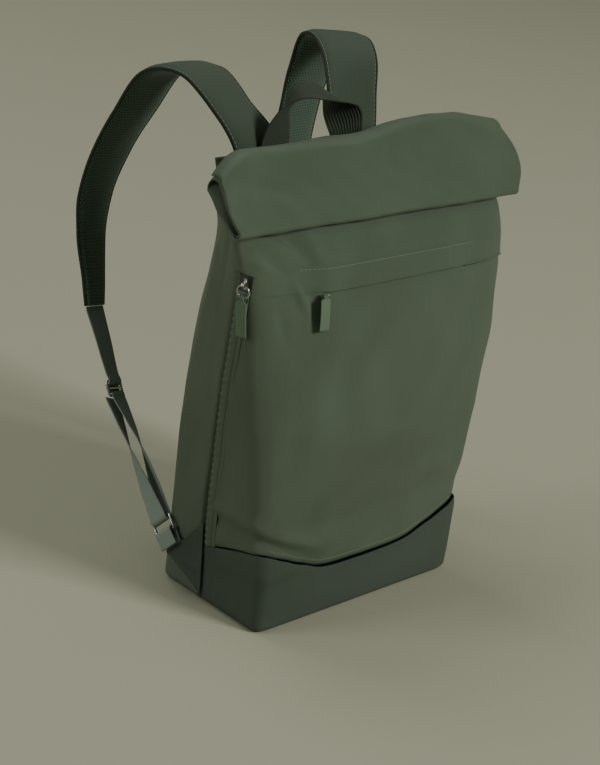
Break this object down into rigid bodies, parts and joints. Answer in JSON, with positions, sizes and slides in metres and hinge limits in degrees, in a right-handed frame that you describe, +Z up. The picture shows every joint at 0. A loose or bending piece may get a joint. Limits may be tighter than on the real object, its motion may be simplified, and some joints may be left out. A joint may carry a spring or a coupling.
{
  "type": "rolltop backpack",
  "caption": "Rolltop backpack with padded straps, haul handle, side zip and front zip pocket, standing on its base with its top rolled forwards.",
  "frame": {"origin": "middle of the base's underside", "axes": "+Z up, -Y to the front with the pocket, +Y to the back panel and the straps, +X to the wearer's right, which is the right as seen from the front"},
  "size_m": [0.4209, 0.3556, 0.5556],
  "materials": {
    "main_cloth": "matt coated canvas, olive",
    "base_cloth": "matt coated canvas, darker olive",
    "spacer_mesh": "padded spacer mesh",
    "strap_cloth": "padded strap with bound edges",
    "webbing": "ribbed woven webbing",
    "pull_tape": "satin coated tape",
    "metal": "satin metal",
    "zip_metal": "polished metal"
  },
  "bodies": {
    "root": {"bottom_panel": "base_cloth", "base_band": "base_cloth", "front_panel": "main_cloth", "front_yoke": "main_cloth", "left_side_panel": "main_cloth", "right_side_panel": "main_cloth", "back_panel": "spacer_mesh", "roll_top": "main_cloth", "side_zip_cover": "main_cloth", "side_zip_slider": "zip_metal", "side_zip_ring": "zip_metal", "side_zip_pull": "pull_tape", "pocket_zip_slider": "zip_metal", "pocket_zip_pull": "pull_tape", "haul_handle": "webbing", "shoulder_strap_left": "strap_cloth", "strap_webbing_left": "webbing", "strap_slider_left": "metal", "strap_ring_left": "metal", "anchor_tab_left": "webbing", "anchor_wing_left": "base_cloth", "shoulder_strap_right": "strap_cloth", "strap_webbing_right": "webbing", "strap_slider_right": "metal", "strap_ring_right": "metal", "anchor_tab_right": "webbing", "anchor_wing_right": "base_cloth"}
  },
  "joints": []
}
